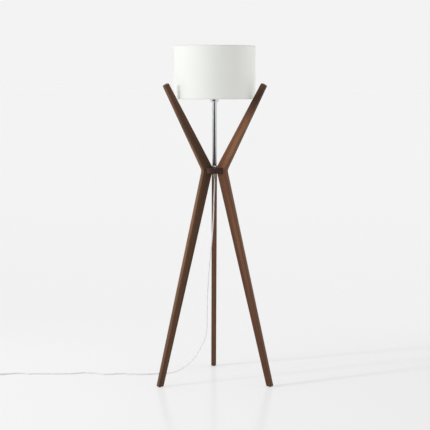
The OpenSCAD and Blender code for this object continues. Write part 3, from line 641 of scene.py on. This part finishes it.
# %% The hub's wood
# darker stain: painted shade; the entry at x = -0.034 m: painted light on the hub's left side
walnut("walnut_hub", stain(44, 30, 26), stain(75, 52, 44), heart=(0, 0, 0),
       painted_light_and_shade=[(-0.034, 0.020, 0.8)], source="Object", axes=(2, 1, 0)).onto(nodes["hub"])

# %% [markdown]
# ## Polished metal
# A mirror finish shows its surroundings, so any flat spot in a coarse mesh is seen at once. The
# pole, its collar and the cup under the lampholder are turned again with fine steps. The metal is
# nearly white and smooth, with a trace of wiped smears that only change how sharp it mirrors.

# %% Pole, collar and cup
POLE_R, POLE_IN, ROD_HOLE, COLLAR_R, CUP_WALL = 11.5, 10.0, 5.1, 13.5, 1.2
collar_z, pole_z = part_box("collar")[0].z / MM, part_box("pole")[0].z / MM
pole_top, cup_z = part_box("pole")[1].z / MM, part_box("cup")[0].z / MM
pole = turned("pole_tube", [
    (POLE_IN, pole_z + 50), (POLE_IN, pole_z), (POLE_R, pole_z), (POLE_R, pole_top),
    (POLE_IN, pole_top), (POLE_IN, pole_z + 60)], 128)
collar = turned("pole_collar", rounded([
    (ROD_HOLE, collar_z), (COLLAR_R - 0.5, collar_z), (COLLAR_R, collar_z + 0.5),
    (COLLAR_R, collar_z + 8, 1.2), (POLE_R + 0.6, collar_z + 8, 0.4), (POLE_R + 0.1, collar_z + 7.2),
    (POLE_R + 0.1, collar_z + 3.2), (ROD_HOLE, collar_z + 3.2)]))


def curve(p, steps):
    """The cubic curve with end points p0 and p3 that sets out towards p1 and arrives from p2:
    (1-t)^3 p0 + 3 t (1-t)^2 p1 + 3 t^2 (1-t) p2 + t^3 p3."""
    t = np.linspace(0, 1, steps + 1)[:, None]
    p = np.array(p, float)
    return (1 - t)**3 * p[0] + 3 * t * (1 - t)**2 * p[1] + 3 * t**2 * (1 - t) * p[2] + t**3 * p[3]


flare = curve([(15, 0), (20, 0), (20, 8.5), (23, 34)], 32)
inside = flare[::-1][flare[::-1, 1] > CUP_WALL + 0.2] - (CUP_WALL, 0)
bottom = [(ROD_HOLE, CUP_WALL), (ROD_HOLE, 0)]
cup = turned("cup_bell", np.concatenate([bottom, flare, inside, [(15 - CUP_WALL, CUP_WALL)]]) + (0, cup_z),
             128, sharp=30)
for piece, node in ((pole, "pole"), (collar, "collar"), (cup, "cup")):
    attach(piece, "stand")
    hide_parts(node)

# %% The polish
polish = Finish("polish", Metallic=1.0)
place = polish.coordinates()
smear = polish.noise(place, (40, 40, 12), detail=3, twist=1.2)
hair = polish.noise(place, (30, 30, 2500), detail=1)
polish.set(Base_Color=polish.blend(smear, stain(228, 230, 232), stain(242, 243, 244)),
           Roughness=0.05 + smear.between(0.45, 0.75) * 0.07,
           Normal=polish.relief(hair, 0.000002))
polish.onto(pole, collar, cup)

# %% [markdown]
# The metal out of sight is plainer: cloudy plated steel for rod, nuts, washers, screws and pins,
# lightly tarnished brass for the contacts and the switch's spindle, and thin aluminium for the
# bulb's cap, where the screw thread is drawn as relief.

# %% Steel, brass and aluminium
steel = Finish("plated_steel", Metallic=1.0)
place = steel.coordinates()
cloud = steel.noise(place, (90, 90, 90), detail=4)
fine = steel.noise(place, (1500, 1500, 1500), detail=1)
steel.set(Base_Color=steel.blend(cloud, stain(158, 160, 163), stain(196, 196, 192)),
          Roughness=0.28 + cloud * 0.2, Normal=steel.relief(fine, 0.00001))
steel.onto(*(nodes[n] for n in (
    "rod", "hub_washer", "hub_nut", "cup_washer", "cup_nut", "leg_screws", "plug_pins")))

brass = Finish("plain_brass", Metallic=1.0)
place = brass.coordinates()
tarnish = brass.noise(place, (120, 120, 120), detail=4)
brass.set(Base_Color=brass.blend(tarnish, stain(176, 142, 84), stain(214, 184, 120)),
          Roughness=0.25 + tarnish * 0.25, Normal=brass.relief(tarnish, 0.00002))
brass.onto(*(nodes[n] for n in ("screw_contact", "centre_contact", "spindle")))

tin = Finish("cap_aluminium", Metallic=1.0)
place = tin.coordinates()
_, _, z = tin.parts(place)
THREAD = 0.0036
thread = (z * (2 * math.pi / THREAD)).sin() * 0.5 + 0.5
wear = tin.noise(place, (300, 300, 80), detail=3)
tin.set(Base_Color=tin.blend(wear, stain(176, 177, 178), stain(214, 214, 212)),
        Roughness=0.26 + wear * 0.2, Normal=tin.relief(thread * 0.9 + wear * 0.1, 0.0004))
tin.onto(nodes["bulb_cap"])

# %% [markdown]
# ## The shade
# A drum shade is cloth glued to a stiff white film, wrapped round two wire rings and folded over
# them, so each rim is a soft roll with a hem that stands slightly proud, and the wrap ends in a
# straight lapped seam, turned to the back here. The cloth is one closed surface: a profile that
# rolls over both wires, turned round the axis. The film is a second, thinner surface inside it.

# %% The cloth's profile
shade_low, shade_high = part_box("shade_cover")
SHADE_MID, HALF = (shade_low.z + shade_high.z) / 2 / MM, (shade_high.z - shade_low.z) / 2 / MM
WIRE_R, ROLL, ROLL_IN = 186.4, 3.6, 2.8
CLOTH_R, HEM_R, LINING_R, LIP_R = 189.5, WIRE_R + ROLL, 188.3, WIRE_R - ROLL


def half_roll(radius, low, high, steps):
    """An arc over the wire's middle (WIRE_R, HALF - ROLL), from one angle to another, in degrees."""
    a = np.radians(np.linspace(low, high, steps + 1))
    return np.stack([WIRE_R + radius * np.cos(a), HALF - ROLL + radius * np.sin(a)], 1)


outside = np.concatenate([
    [(CLOTH_R, z) for z in np.linspace(0, HALF - 7.5, 8)],
    [(CLOTH_R, HALF - 6.6), (CLOTH_R + 0.2, HALF - 6.2), (HEM_R, HALF - 5.9)],
    half_roll(ROLL, 0, 180, 14), [(LIP_R, HALF - 8), (LIP_R + 0.1, HALF - 9), (LIP_R + 0.7, HALF - 9)]])
within = np.concatenate([
    [(LIP_R + 0.8, HALF - 8)], half_roll(ROLL_IN, 180, 45, 8),
    [(LINING_R, HALF - 8), (LINING_R, 40), (LINING_R, 0)]])
down = (1, -1)
profile = np.concatenate([outside, within[:-1], within[::-1] * down, outside[:0:-1] * down])
print("points of the cloth's profile:", len(profile))

# %% [markdown]
# The seam is a strip where the cloth lies double. On the outer face the radius is
# r = profile + CLOTH_T (rise - fall): the rise is the cut edge of the upper layer, and the fall is
# long and flat, where the lower layer ends underneath. The hem is set in by one thickness, which
# leaves room for the seam on it.

# %% The cloth of the shade
SEAM, CLOTH_T, EDGE_RISE, EDGE_FALL = 6, 0.3, 1.3, 9
steps = 288
around = np.linspace(0, 2 * np.pi, steps, endpoint=False)
past_seam = (around - np.pi / 2) * CLOTH_R
rise = np.clip(past_seam + SEAM, 0, EDGE_RISE) / EDGE_RISE
fall = np.clip(past_seam - SEAM, 0, EDGE_FALL) / EDGE_FALL
is_out = (profile[:, 0] > CLOTH_R - 0.2)[:, None]
is_hem = profile[:, :1] > HEM_R - 0.05
r = profile[:, :1] + CLOTH_T * is_out * np.clip(rise - fall, 0, 1) - CLOTH_T * is_out * is_hem
z = np.repeat(profile[:, 1:] + SHADE_MID, steps, 1)
grid = np.stack([r * np.cos(around), r * np.sin(around), z], -1) * MM
uv = map_of(np.linspace(0, 2 * np.pi, steps + 1) * CLOTH_R, run_along(np.concatenate([profile, profile[:1]])))
cover = skin("shade_cloth", grid, loop=True, uv=uv * MM, sharp=50)
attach(cover, "shade")
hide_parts("shade_cover")

# %% The film inside the cloth
FILM_R, FILM_T, MARGIN = 188.4, 0.4, 5
low_edge, high_edge = SHADE_MID - HALF + MARGIN, SHADE_MID + HALF - MARGIN
film = turned("shade_film", [
    (FILM_R, low_edge), (FILM_R, high_edge), (FILM_R - FILM_T, high_edge), (FILM_R - FILM_T, low_edge)], 192)
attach(film, "shade")

# %% [markdown]
# White cloth is never one flat white. Each thread goes over and under the next, and the thicker ones
# show as short faint lines. A band at each hem is painted a little greyer, as painted shade along the rims.
# The weave is drawn along the cloth's own length and height, so it wraps round the drum and over
# its rims. Real threads are half a millimetre apart, which is far too fine to model.

# %% The cloth finish
WEAVE = 0.0011
cloth = Finish("woven_cloth", Specular_IOR_Level=0.3, Sheen_Weight=0.15, Sheen_Roughness=0.5)
place = cloth.coordinates("UV")
wobble = cloth.noise(place, (60, 60, 1), detail=2) * 0.0006
u, v, _ = cloth.parts(place)
warp = ((u + wobble) * (2 * math.pi / WEAVE)).sin()
weft = ((v + wobble) * (2 * math.pi / WEAVE)).sin()
weave = warp * weft * 0.5 + 0.5
thick_weft = cloth.noise(place, (28, 1300, 1), detail=2).between(0.60, 0.80)
thick_warp = cloth.noise(place, (1300, 22, 1), detail=2, shift=(3, 7, 0)).between(0.62, 0.82)
slub = (thick_weft * 0.7 + thick_warp * 0.5).clamped()
uneven = cloth.noise(place, (9, 9, 1), detail=3)
_, _, height = cloth.parts(cloth.coordinates("Object"))
# rim: the band at each hem, painted 5 % darker as painted shade
rim = (height - SHADE_MID * MM).size().between((HALF - 7.0) * MM, (HALF - 5.6) * MM)
tone = cloth.blend(uneven, stain(236, 237, 231), stain(240, 241, 236))
tone = cloth.shade(tone, 1.0 - slub * 0.035 - rim * 0.05 - weave * 0.02)
cloth.set(Base_Color=tone, Roughness=0.72 - slub * 0.06,
          Normal=cloth.relief(weave * 0.6 + slub * 0.5, 0.00007))
cloth.onto(cover)

liner = Finish("white_film", Specular_IOR_Level=0.45)
place = liner.coordinates("UV")
pebble = liner.noise(place, (1400, 1400, 1), detail=2)
haze = liner.noise(place, (12, 12, 1), detail=3)
liner.set(Base_Color=liner.blend(haze, stain(236, 236, 233), stain(243, 243, 241)),
          Roughness=0.42 + haze * 0.1, Normal=liner.relief(pebble, 0.00002))
liner.onto(film)

# %% [markdown]
# ## Wires, lampholder and bulb
# These sit inside the shade. Their solids have every step and groove already, so each only needs
# its own material: enamel that pools slightly on wire, moulded plastic with a faint grain and a
# soft gloss, and coated glass that looks milky until it is lit.

# %% Enamel, plastics and glass
enamel = Finish("white_enamel", Coat_Weight=0.3, Coat_Roughness=0.15)
place = enamel.coordinates()
pooled = enamel.noise(place, (160, 160, 160), detail=3)
enamel.set(Base_Color=enamel.blend(pooled, stain(226, 226, 224), stain(238, 238, 237)),
           Roughness=0.3 + pooled * 0.12, Normal=enamel.relief(pooled, 0.00005))
enamel.onto(*(nodes[n] for n in ("shade_top_ring", "shade_bottom_ring", "shade_spider")))


def moulded(name, low, high, rough, depth=0.000012):
    """Moulded plastic: a fine grain from the mould, and clouds where it was handled."""
    f = Finish(name, Specular_IOR_Level=0.45)
    place = f.coordinates()
    grain, cloud = f.noise(place, (2600, 2600, 2600), detail=1), f.noise(place, (50, 50, 50), detail=4)
    f.set(Base_Color=f.blend(cloud, low, high), Roughness=rough + cloud * 0.14 - 0.07,
          Normal=f.relief(grain, depth))
    return f


moulded("holder_plastic", stain(224, 222, 214), stain(236, 234, 228), 0.32).onto(
    *(nodes[n] for n in ("holder_body", "holder_skirt", "lock_ring", "knob")))
moulded("glide_plastic", stain(34, 31, 30), stain(52, 48, 46), 0.55, 0.00003).onto(nodes["foot_glides"])
moulded("grip_plastic", stain(168, 156, 144), stain(204, 194, 182), 0.30).onto(nodes["cord_grip"])
moulded("tie_plastic", stain(214, 214, 210), stain(230, 230, 226), 0.40).onto(nodes["cord_tie"])

glass = Finish("coated_glass", Coat_Weight=0.6, Coat_Roughness=0.06, Specular_IOR_Level=0.5)
place = glass.coordinates()
coating = glass.noise(place, (60, 60, 60), detail=4)
waves = glass.noise(place, (25, 25, 25), detail=1)
glass.set(Base_Color=glass.blend(coating, stain(232, 231, 226), stain(243, 243, 240)),
          Roughness=0.28 + coating * 0.12, Normal=glass.relief(waves, 0.0002))
glass.onto(nodes["bulb_glass"])

# %% [markdown]
# ## The cord's finish
# The cord's clear jacket shows two pale wires twisted round each other, as soft bands that climb
# round it. They are drawn on the cord's own map, where one coordinate goes round and the other
# along.

# %% The cord's jacket
TWIST = 0.042
jacket = Finish("clear_jacket", Coat_Weight=0.5, Coat_Roughness=0.12, Specular_IOR_Level=0.45)
u, v, _ = jacket.parts(jacket.coordinates("UV"))
wires = ((u * 2 - v / TWIST) * (2 * math.pi)).sin() * 0.5 + 0.5
scuff = jacket.noise(jacket.coordinates(), (110, 110, 110), detail=3)
jacket.set(Base_Color=jacket.blend(wires.between(0.2, 0.8), stain(229, 228, 224), stain(244, 243, 240)),
           Roughness=0.26 + scuff * 0.16, Normal=jacket.relief(wires * 0.7 + scuff * 0.3, 0.00006))
jacket.onto(cord, nodes["cord_inner"])

# %% The plug's plastic
moulded("plug_plastic", stain(226, 226, 224), stain(236, 236, 234), 0.45, 0.00003).onto(plug)

# %% [markdown]
# ## Floor, background and light
# The lamp stands in a white studio. What the camera sees behind it is set apart from what lights
# it, with Light Path, so that the background can be near white without any more light on the wood.
# The floor is one large pale sheet just under the feet. To the camera it is grey paint with a weak
# gloss and an even glow. On the left, near the lamp, the glow is stronger, as painted light from the
# window on that side. It is also a little stronger far behind (far) and away from the lamp (away),
# where it also makes up for the gloss that fades there. To every other ray it is light grey paint,
# which sends light up onto the shade.

# %% Floor
FLOOR_HALF, UNDER_FEET = 400.0, 0.0002
SEEN, BOUNCED, GLOSS, BOUNCED_GLOSS = 0.42, 0.76, 0.075, 0.05
LIFT, PAINTED_LIGHT_LEFT, FAR_LIFT, AWAY_LIFT = 0.448, 0.078, 0.016, 0.036
edge = np.linspace(-FLOOR_HALF, FLOOR_HALF, 3)
gx, gy = np.meshgrid(edge, edge, indexing="ij")
floor = skin("floor", np.stack([gx, gy, 0 * gx - UNDER_FEET], -1), around=False)
if floor.data.polygons[0].normal.z < 0:
    floor.data.flip_normals()
pale = Finish("pale_floor")
x, y, _ = pale.parts(pale.coordinates())
far = y.between(1.0, 9.0)
away = (x * x + y * y).between(1.4, 4.0)
# painted light: the glow rises on the left, near the lamp, for the window's light
painted_light_left = (0.5 - x.between(-1.4, 1.4)) * (1 - (y + 1).size().between(1.0, 2.8)) * PAINTED_LIGHT_LEFT
lift = painted_light_left + far * FAR_LIFT + away * AWAY_LIFT + LIFT
shine = pale.box("ShaderNodeBsdfGlossy", {}, {"Color": (1, 1, 1, 1), "Roughness": 0.19})


def painted(grey, gloss):
    """Matt grey paint under a weak gloss."""
    matt = pale.box("ShaderNodeBsdfDiffuse", {}, {"Color": (grey, grey, grey, 1)})
    return pale.box("ShaderNodeMixShader", {}, {0: gloss, 1: matt, 2: shine})


glow = pale.box("ShaderNodeEmission", {}, {"Color": pale.joined(lift, lift, lift)})
seen = pale.box("ShaderNodeAddShader", {}, {0: painted(SEEN, (1 - away) * GLOSS), 1: glow})
ray = pale.box("ShaderNodeLightPath", {}, {}, "Is Camera Ray")
choice = pale.box("ShaderNodeMixShader", {}, {0: ray, 1: painted(BOUNCED, BOUNCED_GLOSS), 2: seen})
pale.feed(pale.tree.nodes["Material Output"].inputs[0], choice)
pale.tree.nodes.remove(pale.shader)
pale.onto(floor)

# %% The world: FILL lights the lamp, BACKDROP is what is seen, mirrored or seen through glass
FILL, BACKDROP = 0.565, 0.896
world = bpy.data.worlds.new("studio")
bpy.context.scene.world = world
world.use_nodes = True
sky = Boxes(world.node_tree)
direct, mirrored, through = sky.outputs(
    "ShaderNodeLightPath", {}, "Is Camera Ray", "Is Glossy Ray", "Is Transmission Ray")
level = sky.box("ShaderNodeMix", {}, {0: (direct + mirrored + through).clamped(), 2: FILL, 3: BACKDROP})
backdrop = world.node_tree.nodes["Background"].inputs
sky.feed(backdrop["Strength"], level)
sky.feed(backdrop["Color"], (1, 1, 1, 1))
print("world:", FILL, "as light,", BACKDROP, "as backdrop")

# %% [markdown]
# The light comes from a tall window on the left, which is split between four suns, because no one
# sun gives the shade, the wood and the floor what each needs. The broad one shades the drum softly.
# A narrow one from nearer the camera throws the thin shadow of the left arm onto the shade. The
# third is the only one that polish and lacquer mirror. The low one lights the floor alone and
# draws the long faint shadows of the feet. A weak front light and a rim light from the right open
# up the dark sides. Some suns pass certain pieces, so that these don't cast a second shadow.

# %% Suns
def sun(name, towards, strength, spread, glints=True):
    """A sun: parallel light from one direction, spread over some degrees, so it falls evenly on the
    floor. Without glints it lights surfaces, but polish and lacquer don't mirror it."""
    data = bpy.data.lights.new(name, "SUN")
    data.energy, data.angle = strength, math.radians(spread)
    lamp = bpy.data.objects.new(name, data)
    d = unit(np.array(towards, float))
    lamp.rotation_euler = (math.acos(d[2]), 0, math.atan2(d[1], d[0]) + math.pi / 2)
    lamp.visible_glossy = glints
    bpy.context.scene.collection.objects.link(lamp)
    print(f"sun {name}: {strength:.2f}, {spread} degrees wide")
    return lamp


def let_past(lamp, *pieces):
    """The lamp's light passes these pieces, so they cast no shadow in it."""
    passed = bpy.data.collections.new("let_past_by_" + lamp.name)
    lamp.light_linking.blocker_collection = passed
    for piece in pieces:
        passed.objects.link(piece)
    for entry in passed.collection_objects:
        entry.light_linking.link_state = "EXCLUDE"


# %% The window and the lights that help it
COOL = (0.945, 0.96, 1.0)
window = sun("window", (-1, -0.20, 0.16), 0.30 * math.pi, 30, glints=False)
nearer = sun("window_nearer", (-1, -0.62, 0.16), 0.25 * math.pi, 7, glints=False)
window.data.color = nearer.data.color = COOL
sun("window_glint", (-1, -0.36, 0.16), 0.09 * math.pi, 34)
sun("front", (-0.15, -1, 0.2), 0.01 * math.pi, 9, glints=False)
rim = sun("rim", (0.95, 0.2, 0.35), 0.34 * math.pi, 50, glints=False)
low = sun("low", (-1, -0.44, 0.22), 0.85 * math.pi, 5.5, glints=False)
low.light_linking.receiver_collection = bpy.data.collections.new("lit_by_low")
low.light_linking.receiver_collection.objects.link(floor)
let_past(window, left)
let_past(rim, left, right)
let_past(low, cord)

# %% [markdown]
# Polished metal needs something dark to mirror, or it looks white. Behind the camera stands a
# screen, whose foot runs forward over the floor until a metre before the lamp. It is bright but
# for a dark patch about x = DARK_X. The patch is widest at the foot of the screen, narrows upwards
# and towards the lamp, and fades out at its sides and its near end. Only mirroring surfaces see it.

# %% The dark end of the studio
WIDE, BACK, NEAR, TOP, OFF_FLOOR = 8.0, -8.0, -1.0, 6.0, 0.01
DARK_X, DARK_W, DARK_Z, WIDENING, NARROWING = -0.8, 3.3, 1.25, 4.2, 0.86
turn_up = np.array([(BACK, TOP), (BACK, OFF_FLOOR), (NEAR, OFF_FLOOR)])
grid = np.array([[(x, y, z) for x in (-WIDE, WIDE)] for y, z in turn_up])
screen = skin("dark_end", grid, around=False)
dim = Finish("dark_studio", Base_Color=(0, 0, 0, 1), Specular_IOR_Level=0.0, Emission_Strength=1.0)
x, y, z = dim.parts(dim.coordinates())
narrow = (DARK_W + (DARK_Z - z) * WIDENING) * (1 - y.between(-7.0, -3.0) * NARROWING)
patch = 1 - ((x - DARK_X).size() - narrow).between(0.0, 2.0)
light = 1 - patch * (1 - y.between(-1.7, NEAR))
dim.set(Emission_Color=dim.blend(light, (0.045, 0.045, 0.045, 1), (0.88, 0.88, 0.88, 1)))
dim.onto(screen)
for ray in ("camera", "diffuse", "transmission", "volume_scatter", "shadow"):
    setattr(screen, "visible_" + ray, False)

# %% [markdown]
# ## Colours as they are
# The colours are shown as they are, with no film look.

# %% No film look
bpy.context.scene.view_settings.view_transform = "Standard"
